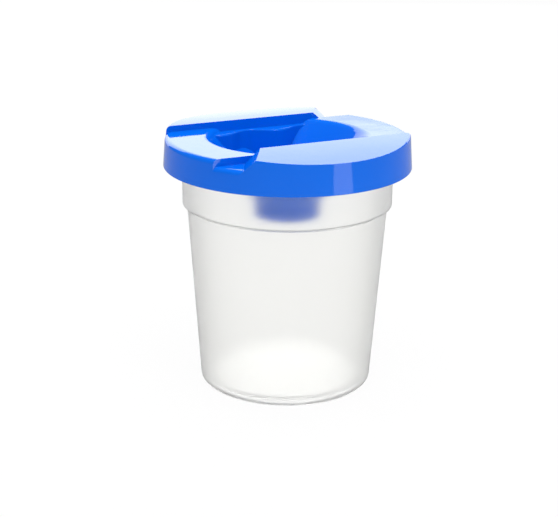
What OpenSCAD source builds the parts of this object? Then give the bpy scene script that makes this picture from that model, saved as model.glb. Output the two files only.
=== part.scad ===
// Non-spill washer: a translucent pot and a push-on lid with a funnel and a channel across its top

/* [Cup] */
// Outer radius of the pot at its foot
cup_foot_r = 30; // [27:0.5:33]
// Outer radius of the tapered body just under the collar
body_top_r = 34.5; // [33.5:0.25:36]
// Height of the tapered body, from the table to the collar
body_h = 63.5; // [50:0.1:80]
// How far the collar stands out from the body
collar_step = 1.6; // [0.8:0.1:2.4]
// Height of the sloped step under the collar
step_h = 0.9; // [0.4:0.1:2]
// Height of the collar and rim above the step
collar_h = 19.7; // [15:0.1:26]
// Wall thickness of the pot
cup_wall = 1.5; // [1:0.1:2]
// Thickness of the pot's floor
cup_floor = 1.8; // [1.2:0.1:3]
// Rounding of the pot's lower corner
foot_round = 1.8; // [1:0.1:2.4]
// Width of the flat ring that the pot stands on
foot_ring_w = 3; // [2:0.5:6]
// Depth of the hollow under the pot's floor
foot_hollow = 0.8; // [0.4:0.1:1.5]
// Thickness of the flared rim
rim_t = 2; // [1.2:0.1:3]
// Height of the slope under the flared rim
rim_slope_h = 2.5; // [1.5:0.1:4]

/* [Lid] */
// Outer radius of the lid at the skirt's lower edge
lid_r = 42.5; // [41.5:0.25:46]
// How much smaller the lid's radius is above the skirt than at the skirt's lower edge
skirt_draft = 0.9; // [0.4:0.1:1.5]
// How far the skirt reaches down past the pot's rim
skirt_drop = 5.8; // [5:0.2:9]
// Wall thickness of the skirt
skirt_wall = 1.6; // [1.2:0.1:2.2]
// Thickness of the lid's top wall
top_wall = 1.8; // [1.4:0.1:2.4]
// Clearance between the skirt and the pot's rim
rim_clearance = 0.4; // [0.3:0.05:0.6]
// Width of the ring inside the lid that rests on the pot's rim
seat_w = 3; // [2:0.5:4]
// Rounding of the lid's outer top edge
edge_round = 1.7; // [0.8:0.1:1.8]

/* [Lid top] */
// Width of the flat channel across the lid
channel_w = 41.1; // [36:0.1:44]
// Height of the channel's floor above the low ledges beside it
channel_rise = 2.4; // [1:0.1:3.5]
// Height of the raised blocks above the channel's floor
block_rise = 2.1; // [1:0.1:3.5]
// Radius of the blocks' crowned top
crown_r = 340; // [250:10:700]
// Distance from the middle to the short end of a block, along the channel
block_end_x = 20.1; // [17:0.1:22]
// Angle of a block's short end to the channel
block_end_angle = 63; // [50:1:80]
// Steepness of a block's short end
block_end_slope = 43; // [30:1:60]

/* [Funnel] */
// Radius of the round mouth in the channel's floor
mouth_r = 27.2; // [25:0.1:29]
// How far the wavy shelves lie below the channel's floor
shelf_drop = 1.5; // [0.8:0.1:2.5]
// Mean distance of the shelves' wavy edges from the middle
wave_mid = 17.6; // [16:0.1:17.8]
// Height of the waves
wave_amp = 2.2; // [1:0.1:2.5]
// Length of one wave
wave_len = 21.5; // [18:0.5:30]
// Place of a wave's crest along the channel
wave_crest_x = 17; // [14:0.5:20]
// Depth of the funnel below the channel's floor
funnel_depth = 27.5; // [24:0.5:40]
// Inner radius of the straight throat at the funnel's lower end
throat_r = 10; // [8:0.25:12]
// Length of the straight throat
throat_l = 5; // [4:0.5:8]
// Wall thickness of the funnel
funnel_wall = 1.5; // [1.2:0.1:2]

/* [Hidden] */
$fn = 128;

arc_steps = 6;             // short lines in a rounded corner
wave_steps = 48;           // short lines along a wavy edge
crown_fn = 720;            // sides of the large crown, so that it stays true
over = 1;                  // how far a cut runs past what it cuts

collar_r = body_top_r + collar_step;
collar_z = body_h + step_h;
cup_h = body_h + collar_h;
skirt_inner_r = lid_r - skirt_wall;
rim_r = skirt_inner_r - rim_clearance;
foot_flat_r = cup_foot_r - foot_round;

skirt_z = cup_h - skirt_drop;
ledge_z = cup_h + top_wall;
channel_z = ledge_z + channel_rise;
block_z = channel_z + block_rise;
channel_y = channel_w / 2;
seat_r = skirt_inner_r - seat_w;
shelf_z = channel_z - shelf_drop;
throat_z = channel_z - funnel_depth;
cone_z = throat_z + throat_l;
lid_top_r = lid_r - skirt_draft;
crown_z = block_z - sqrt(pow(crown_r, 2) - pow(channel_y, 2));

// Points of a rounded corner about a centre, from one angle to another
function corner(centre, r, from, to) =
    [for (i = [0 : arc_steps])
        let (a = from + (to - from) * i / arc_steps)
        centre + r * [cos(a), sin(a)]];

// Inner radius of the funnel's cone at a height
function cone_r(z) = throat_r + (mouth_r - throat_r) * (z - cone_z) / (channel_z - cone_z);

// Distance of the back shelf's wavy edge from the middle, at a place along the channel
function wave_y(x) = wave_mid - wave_amp * cos(360 * (x + wave_crest_x) / wave_len);

// Pot: foot, tapered body, collar and flared rim, turned from one outline
module cup() {
    rim_round = rim_t / 3;
    inner_foot_r = cup_foot_r - cup_wall;
    outer = concat(
        corner([foot_flat_r, foot_round], foot_round, -90, 0),
        [[body_top_r, body_h], [collar_r, collar_z],
         [collar_r, cup_h - rim_t - rim_slope_h], [rim_r, cup_h - rim_t]],
        corner([rim_r - rim_round, cup_h - rim_round], rim_round, 0, 90));
    inner = [[collar_r - cup_wall, cup_h], [collar_r - cup_wall, collar_z],
             [body_top_r - cup_wall, body_h]];
    floor_z = foot_hollow + cup_floor;
    floor_corner = corner([inner_foot_r - foot_round, floor_z + foot_round], foot_round, 0, -90);
    hollow = [[0, floor_z], [0, foot_hollow], [foot_flat_r - foot_ring_w, foot_hollow],
              [foot_flat_r - foot_ring_w, 0]];
    color([0.95, 0.95, 0.94, 0.5])
        rotate_extrude() polygon(concat(outer, inner, floor_corner, hollow));
}

// Solid disc with the lid's drafted side and rounded top edge
module lid_disc(bottom, top) {
    rotate_extrude()
        polygon(concat(
            [[0, bottom], [bottom == skirt_z ? lid_r : lid_top_r, bottom]],
            corner([lid_top_r - edge_round, top - edge_round], edge_round, 0, 90),
            [[0, top]]));
}

// Long box across the lid, as wide as the channel or a wall more
module channel_box(half_w, bottom, top) {
    translate([-lid_r - over, -half_w, bottom])
        cube([2 * (lid_r + over), 2 * half_w, top - bottom]);
}

// Back block, drawn in by a wall on every side for its hollow; the front one is turned half round
module block(inset, bottom) {
    end_dir = block_end_angle - 90;
    intersection() {
        lid_disc(bottom, block_z);
        translate([0, 0, crown_z - inset])
            rotate([0, 90, 0])
                cylinder(r = crown_r, h = 2 * (lid_r + over), center = true, $fn = crown_fn);
        translate([-lid_r - over, channel_y + inset, bottom - over])
            cube([2 * (lid_r + over), lid_r, block_z + 2 * over - bottom]);
        translate([block_end_x, channel_y, block_z])
            rotate([0, 0, end_dir]) rotate([0, block_end_slope, 0])
                translate([-3 * lid_r, -3 * lid_r, -3 * lid_r - inset])
                    cube([6 * lid_r, 6 * lid_r, 3 * lid_r]);
    }
}

// Both blocks
module blocks(inset, bottom) {
    for (turn = [0, 180]) rotate([0, 0, turn]) block(inset, bottom);
}

// Upright band between the two wavy edges, with its sides moved out by a wall
module wavy_band(bottom, top, out) {
    half_l = lid_r + over;
    back = [for (i = [0 : wave_steps])
        let (x = -mouth_r + 2 * mouth_r * i / wave_steps) [x, wave_y(x) + out]];
    translate([0, 0, bottom])
        linear_extrude(top - bottom)
            polygon(concat([[-half_l, back[0].y]], back, [[half_l, back[wave_steps].y]],
                           [[half_l, -back[0].y]], -back, [[-half_l, -back[wave_steps].y]]));
}

// Cone and throat of the funnel, thicker by a wall on the outside
module funnel_cone(out, top) {
    slope_out = out * sqrt(1 + pow((mouth_r - throat_r) / (channel_z - cone_z), 2));
    rotate_extrude()
        polygon([[0, throat_z - (out == 0 ? over : 0)],
                 [throat_r + out, throat_z - (out == 0 ? over : 0)],
                 [throat_r + out, cone_z],
                 [cone_r(top) + slope_out, top],
                 [0, top]]);
}

// Lid: skirt, ledges, channel floor, blocks and funnel in one moulding
module lid() {
    color([0, 0.41, 0.9])
    difference() {
        union() {
            difference() {
                union() {
                    lid_disc(skirt_z, ledge_z);
                    intersection() {
                        lid_disc(cup_h, channel_z);
                        channel_box(channel_y, cup_h, channel_z + over);
                    }
                    blocks(0, cup_h);
                }
                translate([0, 0, skirt_z - over])
                    cylinder(r = skirt_inner_r, h = cup_h - skirt_z + over);
                intersection() {
                    translate([0, 0, cup_h - over])
                        cylinder(r = seat_r, h = block_z);
                    union() {
                        channel_box(channel_y - top_wall, cup_h - over, channel_z - top_wall);
                        blocks(top_wall, cup_h - over);
                    }
                }
            }
            intersection() {
                funnel_cone(funnel_wall, channel_z - top_wall / 2);
                wavy_band(throat_z - over, channel_z, funnel_wall);
            }
            intersection() {
                translate([0, 0, shelf_z - top_wall])
                    cylinder(r = mouth_r + top_wall, h = top_wall);
                channel_box(channel_y + top_wall / 2, shelf_z - top_wall, shelf_z);
            }
        }
        intersection() {
            funnel_cone(0, channel_z + over);
            channel_box(channel_y, shelf_z, channel_z + over);
        }
        intersection() {
            funnel_cone(0, channel_z + over);
            wavy_band(throat_z - 2 * over, channel_z + 2 * over, 0);
        }
    }
}

cup();
lid();
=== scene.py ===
import math

import bmesh
import bpy
from mathutils import Matrix, Vector


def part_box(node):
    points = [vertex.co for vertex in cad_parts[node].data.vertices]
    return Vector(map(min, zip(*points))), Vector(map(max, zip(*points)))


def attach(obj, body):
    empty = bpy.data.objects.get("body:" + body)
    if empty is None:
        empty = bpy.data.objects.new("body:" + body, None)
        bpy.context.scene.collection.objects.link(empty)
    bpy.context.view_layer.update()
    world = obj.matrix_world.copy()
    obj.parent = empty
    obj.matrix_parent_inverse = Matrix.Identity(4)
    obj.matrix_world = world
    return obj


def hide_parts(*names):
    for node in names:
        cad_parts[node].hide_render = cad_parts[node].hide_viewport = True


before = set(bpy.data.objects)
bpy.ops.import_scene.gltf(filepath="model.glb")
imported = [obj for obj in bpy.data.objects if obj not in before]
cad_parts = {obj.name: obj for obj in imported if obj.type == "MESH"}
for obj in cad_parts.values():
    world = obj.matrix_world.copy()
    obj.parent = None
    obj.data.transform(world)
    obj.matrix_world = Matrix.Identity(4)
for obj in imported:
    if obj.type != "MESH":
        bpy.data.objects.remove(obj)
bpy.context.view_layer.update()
print("stage: frame loaded")

mm = 0.001
fullTurn = 2 * math.pi
mergeReach = 0.001 * mm                 # corners nearer to each other than this become one
shortEdge = 0.0005 * mm                 # edges shorter than this go
sliverEdge = 0.0018 * mm                # the same for the carved lid, whose slivers go too
across, along, up = Vector((0, 1, 0)), Vector((1, 0, 0)), Vector((0, 0, 1))


# Camera at the photograph's angle: the lid's channel runs away to the right

photoCamera = {
    "distance": 0.460,
    "height": 0.045,                # of the point it looks at
    "azimuth": -26.5,               # degrees round from the -Y side
    "elevation": 18.35,
    "roll": 0.69,
    "lens": 84.7,
    "sensor": 36.0,
    "frame": (558, 517),
    "target": (286.55, 253.58),     # pixel where that point lies
}


def sightLine(azimuth, elevation):      # from the object towards a place round it, in degrees
    turn, tilt = math.radians(azimuth), math.radians(elevation)
    return Vector((math.sin(turn) * math.cos(tilt), -math.cos(turn) * math.cos(tilt), math.sin(tilt)))


def makeCamera(cam):
    outward = sightLine(cam["azimuth"], cam["elevation"])
    wide, high = cam["frame"]
    data = bpy.data.cameras.new("photoCamera")
    data.sensor_width, data.lens = cam["sensor"], cam["lens"]
    data.clip_start = 0.01
    data.shift_x = (wide / 2 - cam["target"][0]) / wide
    data.shift_y = (cam["target"][1] - high / 2) / wide
    camera = bpy.data.objects.new("photoCamera", data)
    place = Matrix.Translation(up * cam["height"] + outward * cam["distance"])
    aim = outward.to_track_quat("Z", "Y").to_matrix().to_4x4()
    camera.matrix_world = place @ aim @ Matrix.Rotation(math.radians(cam["roll"]), 4, "Z")
    bpy.context.scene.collection.objects.link(camera)
    bpy.context.scene.camera = camera


makeCamera(photoCamera)
print("stage: camera")


# Helpers that turn, extrude and carve moulded shapes; outlines are in millimetres

def softened(corners, steps=5):         # corners are (radius, height, how far back the rounding starts)
    outline = []
    for i, (r, z, soft) in enumerate(corners):
        here = Vector((r, z))
        if soft == 0:
            outline.append(here)
            continue
        before = here + (Vector(corners[i - 1][:2]) - here).normalized() * soft
        after = here + (Vector(corners[(i + 1) % len(corners)][:2]) - here).normalized() * soft
        for s in range(steps + 1):
            t = s / steps
            outline.append(before * (1 - t) ** 2 + here * 2 * t * (1 - t) + after * t ** 2)
    return outline


def tidyShell(bm):
    bmesh.ops.remove_doubles(bm, verts=bm.verts, dist=mergeReach)
    bmesh.ops.dissolve_degenerate(bm, edges=bm.edges, dist=shortEdge)
    bmesh.ops.recalc_face_normals(bm, faces=bm.faces)
    return bm


def turned(outline, steps):             # closed outline spun about Z
    bm = bmesh.new()
    ring = [bm.verts.new((r * mm, 0, z * mm)) for r, z in outline]
    pairs = zip(ring, ring[1:] + ring[:1])
    edges = [bm.edges.new(pair) for pair in pairs if max(v.co.x for v in pair) > 0]
    bmesh.ops.spin(bm, geom=ring + edges, cent=(0, 0, 0), axis=up, angle=fullTurn,
                   steps=steps, use_merge=True)
    return tidyShell(bm)


def prism(points, bottom, top):         # flat outline pulled up into a solid
    bm = bmesh.new()
    bm.faces.new([bm.verts.new((x * mm, y * mm, bottom * mm)) for x, y in points])
    pulled = bmesh.ops.extrude_face_region(bm, geom=bm.faces[:])
    tops = [v for v in pulled["geom"] if isinstance(v, bmesh.types.BMVert)]
    bmesh.ops.translate(bm, verts=tops, vec=up * (top - bottom) * mm)
    return tidyShell(bm)


def cutSolid(bm, cuts):                 # cuts with planes and closes each cut; cuts are (point, outward)
    for point, outward in cuts:
        cut = bmesh.ops.bisect_plane(bm, geom=bm.verts[:] + bm.edges[:] + bm.faces[:],
                                     plane_co=point * mm, plane_no=outward, clear_outer=True)
        rim = [e for e in cut["geom_cut"] if isinstance(e, bmesh.types.BMEdge)]
        bmesh.ops.edgenet_fill(bm, edges=rim)
    return tidyShell(bm)


def placed(name, bm):
    mesh = bpy.data.meshes.new(name)
    bm.to_mesh(mesh)
    bm.free()
    piece = bpy.data.objects.new(name, mesh)
    bpy.context.scene.collection.objects.link(piece)
    return piece


def copiedMesh(piece):
    bm = bmesh.new()
    bm.from_mesh(piece.data)
    return bm


def takenMesh(piece):                   # a scratch piece's mesh, the piece itself removed
    bm = copiedMesh(piece)
    bpy.data.objects.remove(piece)
    return bm


def carve(piece, bm, operation):        # UNION, DIFFERENCE or INTERSECT with another solid
    tool = placed("tool", bm)
    change = piece.modifiers.new("carve", "BOOLEAN")
    change.operation, change.object, change.solver = operation, tool, "MANIFOLD"
    bpy.context.view_layer.update()
    evaluated = piece.evaluated_get(bpy.context.evaluated_depsgraph_get())
    result = bpy.data.meshes.new_from_object(evaluated)
    piece.modifiers.clear()
    old, piece.data = piece.data, result
    bpy.data.meshes.remove(old)
    bpy.data.objects.remove(tool)


def smoothShaded(piece, sharpAngle):
    for face in piece.data.polygons:
        face.use_smooth = True
    piece.data.set_sharp_from_angle(angle=math.radians(sharpAngle))
    weighted = piece.modifiers.new("evenNormals", "WEIGHTED_NORMAL")
    weighted.keep_sharp = True


# Pot: foot ring, tapered body, stacking collar and flared rim

pot = {
    "footRadius": 30.0,
    "footRound": 1.8,
    "ringInner": 25.2,
    "footHollow": 0.8,
    "floorTop": 2.6,
    "bodyTopRadius": 34.5,
    "bodyHeight": 63.5,
    "collarRadius": 36.1,
    "collarBottom": 64.4,
    "wall": 1.5,
    "rimSlope": 2.5,
    "rimThickness": 2.0,
    "edgeRound": 0.3,
    "taperRound": 0.25,             # where the body meets the step under the collar
    "stepRound": 0.35,
    "rimUnderRound": 0.8,
    "rimRound": 0.6,
    "lipRound": 0.5,                # inner edge of the rim
    "sharpAngle": 60,
    "steps": 256,
}


def makePot():
    low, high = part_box("cup")
    rimRadius, top = high.x / mm, high.z / mm
    wall, rimUnder = pot["wall"], top - pot["rimThickness"]
    innerCollar = pot["collarRadius"] - wall
    edge, taper, step = pot["edgeRound"], pot["taperRound"], pot["stepRound"]
    outline = softened([
        (0, pot["footHollow"], 0),
        (pot["ringInner"], pot["footHollow"], edge),
        (pot["ringInner"], 0, edge),
        (pot["footRadius"], 0, pot["footRound"]),
        (pot["bodyTopRadius"], pot["bodyHeight"], taper),
        (pot["collarRadius"], pot["collarBottom"], step),
        (pot["collarRadius"], rimUnder - pot["rimSlope"], pot["rimUnderRound"]),
        (rimRadius, rimUnder, edge),
        (rimRadius, top, pot["rimRound"]),
        (innerCollar, top, pot["lipRound"]),
        (innerCollar, pot["collarBottom"], step),
        (pot["bodyTopRadius"] - wall, pot["bodyHeight"], taper),
        (pot["footRadius"] - wall, pot["floorTop"], pot["footRound"]),
        (0, pot["floorTop"], 0),
    ])
    piece = placed("waterPot", turned(outline, pot["steps"]))
    smoothShaded(piece, pot["sharpAngle"])
    return piece


waterPot = makePot()
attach(waterPot, "cup")
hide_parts("cup")
print("stage: pot")


# Lid: skirt, ledges, channel floor, two blocks and the funnel, in one moulding

lid = {
    "radius": 42.5,
    "boxGap": 0.02,                 # keeps the skirt's edge inside the frame's box
    "draft": 0.9,
    "skirtWall": 1.6,
    "topWall": 1.8,
    "seatWidth": 3.0,
    "edgeRound": 1.7,
    "skirtRound": 0.35,
    "innerRound": 0.3,
    "skirtDrop": 5.8,
    "channelHalf": 20.55,
    "channelRise": 2.4,
    "crownRadius": 340.0,
    "crownCuts": 24,
    "blockRound": 0.5,
    "blockRoundAngle": 25,          # edges sharper than this are rounded
    "blockRoundCuts": 4,
    "waveRound": 0.7,
    "waveRoundCuts": 6,
    "hair": 0.02,                   # keeps faces from lying in each other
    "past": 1.0,                    # how far a cut runs past what it cuts
    "clear": 5.0,                   # how far a cut runs past the top
    "mouthClear": 6.0,              # how far the mouth's cut runs out past its edge
    "endX": 20.1,
    "endAngle": 63.0,
    "endSlope": 43.0,
    "mouthRadius": 27.2,
    "mouthRound": 1.6,
    "shelfDrop": 1.5,
    "waveMid": 17.6,
    "waveHeight": 2.2,
    "waveLength": 21.5,
    "waveCrest": 17.0,
    "waveSteps": 72,
    "funnelWall": 1.5,
    "throatRadius": 10.0,
    "throatLength": 5.0,
    "sharpAngle": 35,
    "roundSteps": 8,
    "steps": 256,
}


def lidHeights():
    rimTop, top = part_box("cup")[1].z / mm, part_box("lid")[1].z / mm
    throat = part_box("lid")[0].z / mm
    ledge = rimTop + lid["topWall"]
    channel = ledge + lid["channelRise"]
    return {"rim": rimTop, "skirt": rimTop - lid["skirtDrop"], "ledge": ledge, "channel": channel,
            "block": top, "shelf": channel - lid["shelfDrop"],
            "throat": throat, "cone": throat + lid["throatLength"]}


def lidSide(z):                         # radius of the drafted side at a height
    at = lidHeights()
    return lid["radius"] - lid["draft"] * (z - at["skirt"]) / (at["block"] - at["skirt"])


def bandCuts(half):                     # planes that keep what lies between both sides of the channel
    return [(across * half, across), (-across * half, -across)]


def lidTurned(corners):
    return turned(softened(corners, lid["roundSteps"]), lid["steps"])


def drum(radius, bottom, top):
    return turned([(0, bottom), (radius, bottom), (radius, top), (0, top)], lid["steps"])


def lidBlank():                         # skirt and full top, as high as the blocks
    at, hair = lidHeights(), lid["hair"]
    inner = lid["radius"] - lid["skirtWall"]
    return lidTurned([
        (0, at["rim"], 0),
        (inner, at["rim"], lid["innerRound"]),
        (inner, at["skirt"], lid["innerRound"]),
        (lid["radius"] - lid["boxGap"], at["skirt"], lid["skirtRound"]),
        (lidSide(at["block"]), at["block"] + hair, lid["edgeRound"]),
        (0, at["block"] + hair, 0)])


def aboveProfile(top):                  # all above a disc with the drafted side and a round top edge
    down, slope, high = 2.2, 0.6, 9
    reach = lid["radius"] + lid["past"]
    return lidTurned([
        (0, top, 0),
        (lidSide(top), top, lid["edgeRound"]),
        (lidSide(top - down), top - down, 0),
        (reach, top - down - slope, 0),
        (reach, top + high, 0),
        (0, top + high, 0)])


def aboveCrown(inset):                  # all above the blocks' crowned tops, or a wall below them
    at, crown, cuts = lidHeights(), lid["crownRadius"], lid["crownCuts"]
    reach, high = lid["radius"] + 2 * lid["past"], at["block"] + lid["clear"]
    middle = at["block"] - inset - math.sqrt(crown ** 2 - lid["channelHalf"] ** 2)
    places = [-reach + 2 * reach * i / cuts for i in range(cuts + 1)]
    arc = [(y, middle + math.sqrt(crown ** 2 - y ** 2)) for y in places]
    bm = prism([(-reach, high)] + arc + [(reach, high)], -reach, reach)
    upright = Matrix((across, up, along)).transposed().to_4x4()
    bmesh.ops.transform(bm, matrix=upright, verts=bm.verts)
    return tidyShell(bm)


def shortEnd(inset):                    # point and outward direction of the back block's short end
    turn, tilt = math.radians(lid["endAngle"] - 90), math.radians(lid["endSlope"])
    outward = Matrix.Rotation(turn, 3, "Z") @ Matrix.Rotation(tilt, 3, "Y") @ up
    corner = along * lid["endX"] + across * lid["channelHalf"] + up * lidHeights()["block"]
    return corner - outward * inset, outward


def beyondShortEnd():                   # room over the low ledge beside the back block
    point, outward = shortEnd(0)
    side = across * (lid["channelHalf"] - lid["hair"])
    return cutSolid(aboveProfile(lidHeights()["ledge"]), [(side, -across), (point, -outward)])


def underBlock():                       # hollow inside the back block
    at, wall = lidHeights(), lid["topWall"]
    side = across * (lid["channelHalf"] + wall)
    room = placed("room", cutSolid(drum(seatRadius(), at["rim"] - lid["past"], at["block"]),
                                   [(side, -across), shortEnd(wall)]))
    carve(room, aboveCrown(wall), "DIFFERENCE")
    return takenMesh(room)


def seatRadius():                       # inner edge of the ring that rests on the pot
    return lid["radius"] - lid["skirtWall"] - lid["seatWidth"]


def carveBothSides(piece, makeRoom):    # at the back, and turned half round at the front
    for turn in (0, fullTurn / 2):
        room = makeRoom()
        bmesh.ops.rotate(room, verts=room.verts, cent=(0, 0, 0), matrix=Matrix.Rotation(turn, 3, "Z"))
        carve(piece, room, "DIFFERENCE")


def softenTop(piece, above):            # rounds every hard edge above a height
    bm = tidyShell(copiedMesh(piece))
    hard = [e for e in bm.edges if min(v.co.z for v in e.verts) > above * mm and len(e.link_faces) == 2
            and e.calc_face_angle() > math.radians(lid["blockRoundAngle"])]
    bmesh.ops.bevel(bm, geom=hard, offset=lid["blockRound"] * mm, offset_type="OFFSET",
                    segments=lid["blockRoundCuts"], profile=0.5, affect="EDGES", material=-1,
                    clamp_overlap=True)
    bm.to_mesh(piece.data)
    bm.free()


def waveEdge(x):                        # distance of the back shelf's edge from the middle
    phase = fullTurn * (x + lid["waveCrest"]) / lid["waveLength"]
    return lid["waveMid"] - lid["waveHeight"] * math.cos(phase)


def wavyBand(levels):                   # upright band between both wavy edges; levels are (height, moved out)
    reach, steps, side = lid["mouthRadius"], lid["waveSteps"], lid["radius"] + lid["past"]
    places = [-reach + 2 * reach * i / steps for i in range(steps + 1)]
    edge = [(x, waveEdge(x)) for x in places]
    edge = [(-side, edge[0][1])] + edge + [(side, edge[-1][1])]
    bottom, out = levels[0]
    outline = [(x, y + out) for x, y in edge] + [(-x, -y - out) for x, y in edge]
    bm = bmesh.new()
    top = bm.faces.new([bm.verts.new((x * mm, y * mm, bottom * mm)) for x, y in outline])
    for (low, near), (high, far) in zip(levels, levels[1:]):
        pulled = bmesh.ops.extrude_face_region(bm, geom=[top] + top.edges[:])["geom"]
        top = next(part for part in pulled if isinstance(part, bmesh.types.BMFace))
        rise, spread = up * (high - low) * mm, across * (far - near) * mm
        for outward in (1, -1):
            half = [v for v in top.verts if v.co.y * outward > 0]
            bmesh.ops.translate(bm, verts=half, vec=rise + spread * outward)
    return tidyShell(bm)


def coneSlant():                        # how fast the cone's radius grows with height
    at = lidHeights()
    return (lid["mouthRadius"] - lid["throatRadius"]) / (at["channel"] - at["cone"])


def coneRadius(z):
    return lid["throatRadius"] + coneSlant() * (z - lidHeights()["cone"])


def funnelOutside(top):                 # throat and cone, thicker by a wall, between their wavy walls
    at, wall, past = lidHeights(), lid["funnelWall"], lid["past"]
    coneWall = wall * math.sqrt(1 + coneSlant() ** 2)
    outer = lid["throatRadius"] + wall
    funnel = placed("funnel", turned([(0, at["throat"]), (outer, at["throat"]), (outer, at["cone"]),
                                      (coneRadius(top) + coneWall, top), (0, top)], lid["steps"]))
    carve(funnel, wavyBand([(at["throat"] - past, wall), (top + past, wall)]), "INTERSECT")
    return takenMesh(funnel)


def mouthRoom():                        # round mouth with a soft rim, down to the shelves
    at, mouth, half = lidHeights(), lid["mouthRadius"], lid["channelHalf"]
    wide, high = mouth + lid["mouthClear"], at["channel"] + lid["clear"]
    room = lidTurned([
        (0, at["shelf"], 0),
        (coneRadius(at["shelf"]), at["shelf"], 0),
        (mouth, at["channel"], lid["mouthRound"]),
        (wide, at["channel"] + lid["hair"], 0),
        (wide, high, 0),
        (0, high, 0)])
    return cutSolid(room, bandCuts(half - lid["hair"]))


def funnelInside():                     # the wavy walls meet the shelves in a round edge
    at, soft, throat = lidHeights(), lid["waveRound"], lid["throatRadius"]
    past, cuts, top = lid["past"], lid["waveRoundCuts"], at["shelf"] + lid["past"] / 2
    inside = placed("inside", turned([(0, at["throat"] - past), (throat, at["throat"] - past),
                                      (throat, at["cone"]), (coneRadius(top) - lid["hair"] / 4, top),
                                      (0, top)], lid["steps"]))
    lip = [(at["shelf"] - soft + soft * math.sin(a), soft - soft * math.cos(a))
           for a in (fullTurn / 4 * i / cuts for i in range(cuts + 1))]
    levels = [(at["throat"] - 2 * past, 0)] + lip + [(at["channel"] + past, soft)]
    carve(inside, wavyBand(levels), "INTERSECT")
    return takenMesh(inside)


def cleanFaces(piece):                  # triangles without slivers
    bm = tidyShell(copiedMesh(piece))
    bmesh.ops.triangulate(bm, faces=bm.faces, quad_method="BEAUTY", ngon_method="BEAUTY")
    bmesh.ops.dissolve_degenerate(bm, edges=bm.edges, dist=sliverEdge)
    bm.to_mesh(piece.data)
    bm.free()


def makeLid():
    at, wall, half = lidHeights(), lid["topWall"], lid["channelHalf"]
    piece = placed("pushOnLid", lidBlank())
    carve(piece, cutSolid(aboveProfile(at["channel"]), bandCuts(half)), "DIFFERENCE")
    carve(piece, aboveCrown(0), "DIFFERENCE")
    carveBothSides(piece, beyondShortEnd)
    softenTop(piece, at["channel"] + lid["blockRound"] / 2)
    print("stage: lid top")

    under = drum(seatRadius(), at["rim"] - lid["past"], at["channel"] - wall)
    carve(piece, cutSolid(under, bandCuts(half - wall)), "DIFFERENCE")
    carveBothSides(piece, underBlock)
    shelves = drum(lid["mouthRadius"] + wall, at["shelf"] - wall, at["shelf"] + wall / 4)
    carve(piece, cutSolid(shelves, bandCuts(half + wall / 2)), "UNION")
    carve(piece, funnelOutside(at["channel"] - wall / 2), "UNION")
    carve(piece, mouthRoom(), "DIFFERENCE")
    carve(piece, funnelInside(), "DIFFERENCE")
    cleanFaces(piece)
    smoothShaded(piece, lid["sharpAngle"])
    print("stage: funnel")
    return piece


pushOnLid = makeLid()
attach(pushOnLid, "lid")
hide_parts("lid")
print("stage: lid")


# Materials: one group for the faint unevenness of moulded plastic, used by both

def linkUp(tree, source, output, target, socket):
    tree.links.new(source.outputs[output], target.inputs[socket])


def makeMouldedGroup():
    group = bpy.data.node_groups.new("mouldedSurface", "ShaderNodeTree")
    for name, default in (("Flow Scale", 40.0), ("Grain Scale", 900.0), ("Base Roughness", 0.2),
                          ("Roughness Spread", 0.1), ("Flow Depth", 0.1), ("Grain Depth", 0.02)):
        socket = group.interface.new_socket(name, in_out="INPUT", socket_type="NodeSocketFloat")
        socket.default_value = default
    group.interface.new_socket("Cloud", in_out="OUTPUT", socket_type="NodeSocketFloat")
    group.interface.new_socket("Roughness", in_out="OUTPUT", socket_type="NodeSocketFloat")
    group.interface.new_socket("Normal", in_out="OUTPUT", socket_type="NodeSocketVector")
    nodes = group.nodes
    given, result = nodes.new("NodeGroupInput"), nodes.new("NodeGroupOutput")
    place = nodes.new("ShaderNodeTexCoord")
    flow, grain = nodes.new("ShaderNodeTexNoise"), nodes.new("ShaderNodeTexNoise")
    flow.inputs["Detail"].default_value, grain.inputs["Detail"].default_value = 3.0, 2.0
    for noise, scale in ((flow, "Flow Scale"), (grain, "Grain Scale")):
        linkUp(group, place, "Object", noise, "Vector")
        linkUp(group, given, scale, noise, "Scale")
    spread, rough = nodes.new("ShaderNodeMath"), nodes.new("ShaderNodeMath")
    spread.operation, rough.operation = "MULTIPLY", "ADD"
    linkUp(group, flow, "Fac", spread, 0)
    linkUp(group, given, "Roughness Spread", spread, 1)
    linkUp(group, given, "Base Roughness", rough, 0)
    linkUp(group, spread, "Value", rough, 1)
    flowBump, grainBump = nodes.new("ShaderNodeBump"), nodes.new("ShaderNodeBump")
    for bump, noise, depth in ((flowBump, flow, "Flow Depth"), (grainBump, grain, "Grain Depth")):
        bump.inputs["Distance"].default_value = mm
        linkUp(group, noise, "Fac", bump, "Height")
        linkUp(group, given, depth, bump, "Strength")
    linkUp(group, flowBump, "Normal", grainBump, "Normal")
    linkUp(group, flow, "Fac", result, "Cloud")
    linkUp(group, rough, "Value", result, "Roughness")
    linkUp(group, grainBump, "Normal", result, "Normal")
    return group


mouldedGroup = makeMouldedGroup()


def makePlastic(finish):
    material = bpy.data.materials.new(finish["name"])
    material.use_nodes = True
    tree = material.node_tree
    shader = tree.nodes["Principled BSDF"]
    surface = tree.nodes.new("ShaderNodeGroup")
    surface.node_tree = mouldedGroup
    for socket, value in finish["surface"].items():
        surface.inputs[socket].default_value = value
    shade = tree.nodes.new("ShaderNodeMix")
    shade.data_type = "RGBA"
    shade.inputs["A"].default_value, shade.inputs["B"].default_value = finish["colours"]
    linkUp(tree, surface, "Cloud", shade, "Factor")
    tree.links.new(shade.outputs["Result"], shader.inputs["Base Color"])
    linkUp(tree, surface, "Roughness", shader, "Roughness")
    linkUp(tree, surface, "Normal", shader, "Normal")
    for socket, value in finish["shader"].items():
        shader.inputs[socket].default_value = value
    return material


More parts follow.
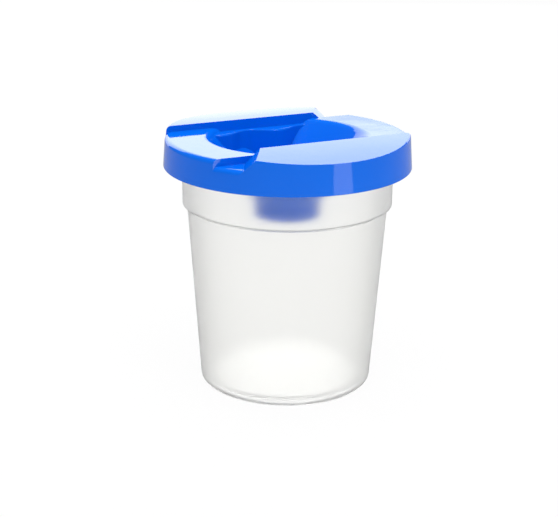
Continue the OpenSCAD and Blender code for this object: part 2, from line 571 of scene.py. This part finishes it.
bluePlastic = {
    "name": "bluePlastic",
    "colours": ((0.0, 0.118, 0.67, 1), (0.0, 0.135, 0.73, 1)),
    "surface": {"Flow Scale": 55.0, "Grain Scale": 1500.0, "Base Roughness": 0.04,
                "Roughness Spread": 0.06, "Flow Depth": 0.08, "Grain Depth": 0.005},
    "shader": {"IOR": 1.49},
}
milkyPlastic = {
    "name": "milkyPlastic",
    "colours": ((0.98, 0.98, 0.965, 1), (0.99, 0.99, 0.98, 1)),
    "surface": {"Flow Scale": 45.0, "Grain Scale": 1200.0, "Base Roughness": 0.28,
                "Roughness Spread": 0.08, "Flow Depth": 0.02, "Grain Depth": 0.02},
    "shader": {"IOR": 1.25, "Transmission Weight": 0.97},
}
pushOnLid.data.materials.clear()
pushOnLid.data.materials.append(makePlastic(bluePlastic))
waterPot.data.materials.clear()
waterPot.data.materials.append(makePlastic(milkyPlastic))
print("stage: materials")


# Plain white floor and soft studio light

studio = {
    "floorRadius": 4.0,
    "floorSteps": 96,
    "floorColour": (0.70, 0.70, 0.70, 1),
    "floorInGloss": (0.30, 0.30, 0.30, 1),
    "floorRoughness": 0.9,
    "floorGlow": 0.94,              # share of plain white that the camera sees
    "ambient": 0.62,
    "frontReflection": 0.12,        # what the room gives where plastic mirrors it
    "aimHeight": 0.08,
}


def makeFloor():
    bm = bmesh.new()
    bmesh.ops.create_circle(bm, cap_ends=True, segments=studio["floorSteps"], radius=studio["floorRadius"])
    floor = placed("studioFloor", bm)
    material = bpy.data.materials.new("studioWhite")
    material.use_nodes = True
    tree = material.node_tree
    paint = tree.nodes["Principled BSDF"]
    paint.inputs["Roughness"].default_value = studio["floorRoughness"]
    paint.inputs["Specular IOR Level"].default_value = 0.0
    white, path = tree.nodes.new("ShaderNodeEmission"), tree.nodes.new("ShaderNodeLightPath")
    seen, glow = tree.nodes.new("ShaderNodeMath"), tree.nodes.new("ShaderNodeMath")
    seen.operation, glow.operation = "MAXIMUM", "MULTIPLY"
    linkUp(tree, path, "Is Camera Ray", seen, 0)
    linkUp(tree, path, "Is Transmission Ray", seen, 1)
    linkUp(tree, seen, "Value", glow, 0)
    glow.inputs[1].default_value = studio["floorGlow"]
    tone = tree.nodes.new("ShaderNodeMix")
    tone.data_type = "RGBA"
    tone.inputs["A"].default_value = studio["floorColour"]
    tone.inputs["B"].default_value = studio["floorInGloss"]
    linkUp(tree, path, "Is Glossy Ray", tone, "Factor")
    tree.links.new(tone.outputs["Result"], paint.inputs["Base Color"])
    blend = tree.nodes.new("ShaderNodeMixShader")
    linkUp(tree, glow, "Value", blend, "Fac")
    tree.links.new(paint.outputs["BSDF"], blend.inputs[1])
    tree.links.new(white.outputs["Emission"], blend.inputs[2])
    tree.links.new(blend.outputs["Shader"], tree.nodes["Material Output"].inputs["Surface"])
    floor.data.materials.append(material)


def makeWorld():
    world = bpy.data.worlds.new("studioWorld")
    world.use_nodes = True
    tree = world.node_tree
    lit = tree.nodes["Background"]
    lit.inputs["Color"].default_value = (1, 1, 1, 1)
    path, glossy = tree.nodes.new("ShaderNodeLightPath"), tree.nodes.new("ShaderNodeMix")
    glossy.inputs["A"].default_value = studio["ambient"]
    glossy.inputs["B"].default_value = studio["frontReflection"]
    linkUp(tree, path, "Is Glossy Ray", glossy, "Factor")
    seen, strength = tree.nodes.new("ShaderNodeMath"), tree.nodes.new("ShaderNodeMath")
    seen.operation, strength.operation = "MAXIMUM", "MAXIMUM"
    linkUp(tree, path, "Is Camera Ray", seen, 0)
    linkUp(tree, path, "Is Transmission Ray", seen, 1)
    linkUp(tree, glossy, "Result", strength, 0)
    linkUp(tree, seen, "Value", strength, 1)
    linkUp(tree, strength, "Value", lit, "Strength")
    bpy.context.scene.world = world


def makePanel(name, panel):             # soft panel facing the object, its brightness as seen in a mirror
    outward = sightLine(photoCamera["azimuth"] + panel["round"], panel["elevation"])
    data = bpy.data.lights.new(name, "AREA")
    data.shape = "RECTANGLE"
    data.size, data.size_y = panel["size"]
    data.energy = panel["brightness"] * math.pi * data.size * data.size_y
    lamp = bpy.data.objects.new(name, data)
    aim = outward.to_track_quat("Z", "Y").to_matrix().to_4x4()
    place = up * studio["aimHeight"] + outward * panel["distance"]
    lamp.matrix_world = Matrix.Translation(place) @ aim
    lamp.visible_camera = False
    lamp.visible_glossy = panel["mirrored"]
    bpy.context.scene.collection.objects.link(lamp)


panels = {                              # round and elevation in degrees, from the camera's side
    "backPanel": {"round": 180, "elevation": 27, "distance": 1.0,
                  "size": (1.7, 0.5), "brightness": 2.5, "mirrored": True},
    "lowBackPanel": {"round": 180, "elevation": 5, "distance": 1.0,
                     "size": (1.7, 0.28), "brightness": 1.6, "mirrored": True},
    "topPanel": {"round": 0, "elevation": 78, "distance": 0.9,
                 "size": (0.8, 0.8), "brightness": 4.0, "mirrored": False},
    "keyPanel": {"round": 25, "elevation": 58, "distance": 0.9,
                 "size": (0.25, 0.6), "brightness": 2.5, "mirrored": True},
    "lowRightPanel": {"round": 46.5, "elevation": -5, "distance": 0.238,
                      "size": (0.069, 0.11), "brightness": 1.7, "mirrored": True},
}
makeFloor()
makeWorld()
for name, panel in panels.items():
    makePanel(name, panel)
bpy.context.scene.view_settings.view_transform = "Standard"
print("stage: studio")
